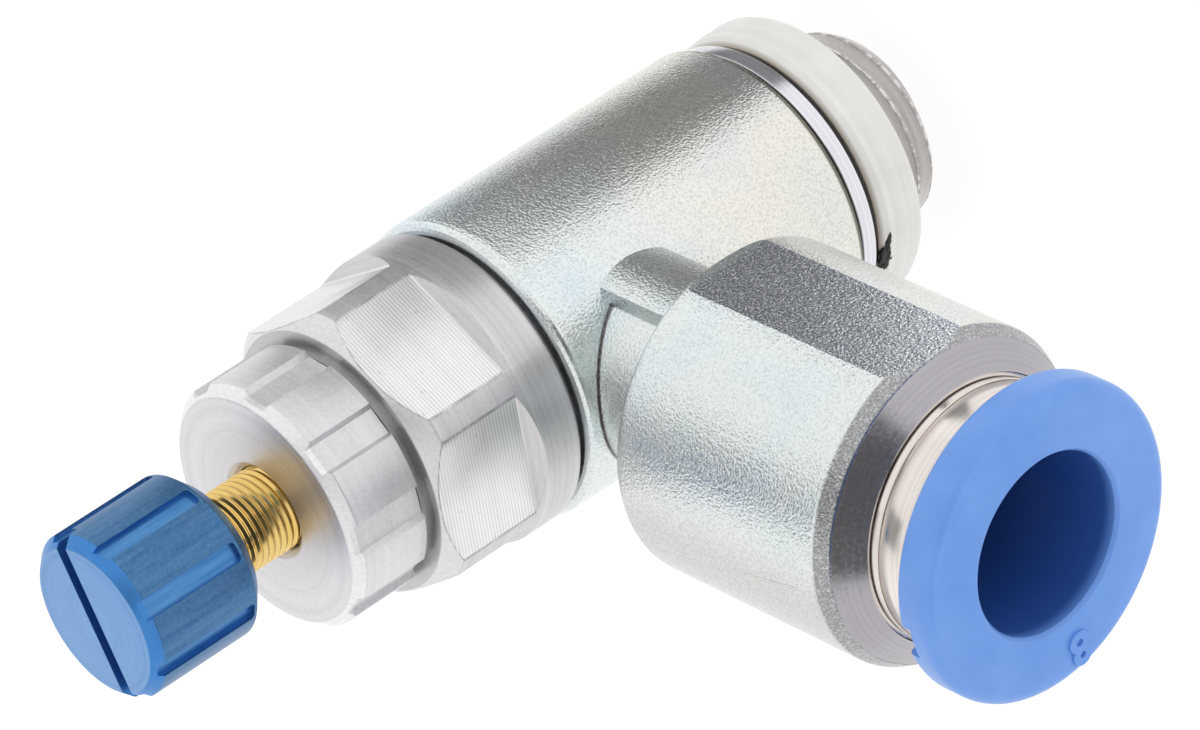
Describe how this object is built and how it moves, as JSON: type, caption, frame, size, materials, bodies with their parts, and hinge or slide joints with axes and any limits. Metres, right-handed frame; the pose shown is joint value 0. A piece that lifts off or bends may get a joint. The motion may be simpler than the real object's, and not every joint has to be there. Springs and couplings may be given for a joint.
{
  "type": "flow control valve",
  "caption": "One-way pneumatic flow control valve: hollow screw-in bolt with hexagon head, swivelling body with push-in tube connector, and a needle screw with knob and lock nut.",
  "frame": {"origin": "on the screw axis, in the plane of the port seal's outer face, where it meets the machine", "axes": "+Z along the screw axis from the port thread to the knob, +X along the tube axis from the body to the release ring, +Y across both"},
  "size_m": [0.0374, 0.0148, 0.0468],
  "materials": {
    "turned_aluminium": "fine turned",
    "bright_aluminium": "polished",
    "brass": "machined",
    "blue_anodised_aluminium": "blue anodised",
    "passivated_zinc": "die-cast zinc, passivated, satin",
    "nickel_plate": "nickel plated",
    "spring_steel": "bright",
    "blue_acetal": "moulded",
    "pale_polyamide": "moulded",
    "dark_polyamide": "moulded",
    "black_rubber": "moulded"
  },
  "bodies": {
    "bolt": {"hollow_bolt": "turned_aluminium", "throttle_seat": "brass", "lower_o_ring": "black_rubber", "upper_o_ring": "black_rubber", "check_lip_seal": "black_rubber", "retaining_ring": "bright_aluminium", "port_seal_ring": "pale_polyamide", "port_seal_rubber": "black_rubber"},
    "connector": {"swivel_body": "passivated_zinc", "tube_seal": "black_rubber", "claw_holder": "dark_polyamide", "clamping_claw": "spring_steel", "cartridge_sleeve": "nickel_plate"},
    "release": {"release_ring": "blue_acetal"},
    "screw_seal": {"screw_o_ring": "black_rubber"},
    "setting_screw": {"regulating_screw": "brass", "knob": "blue_anodised_aluminium"},
    "nut": {"lock_nut": "turned_aluminium"}
  },
  "joints": [
    {"name": "swivel", "type": "hinge", "parent": "bolt", "child": "connector", "pos_m": [0, 0, 0.016], "axis": [0, 0, 1], "continuous": true},
    {"name": "release_push", "type": "slide", "parent": "connector", "child": "release", "axis": [-1, 0, 0], "range_m": [0, 0.0014], "stiffness_N_per_m": 400},
    {"name": "screw_feed", "type": "slide", "parent": "bolt", "child": "screw_seal", "axis": [0, 0, 1], "range_m": [-0.0026, 0.001]},
    {"name": "screw_turn", "type": "hinge", "parent": "screw_seal", "child": "setting_screw", "pos_m": [0, 0, 0.037], "axis": [0, 0, 1], "range_deg": [-2674.3, 1028.6]},
    {"name": "nut_turn", "type": "hinge", "parent": "bolt", "child": "nut", "pos_m": [0, 0, 0.0317], "axis": [0, 0, 1], "range_deg": [0, 360]}
  ],
  "couplings": [
    {"joint": "screw_turn", "follows": "screw_feed", "rad_per_m": 17952}
  ]
}
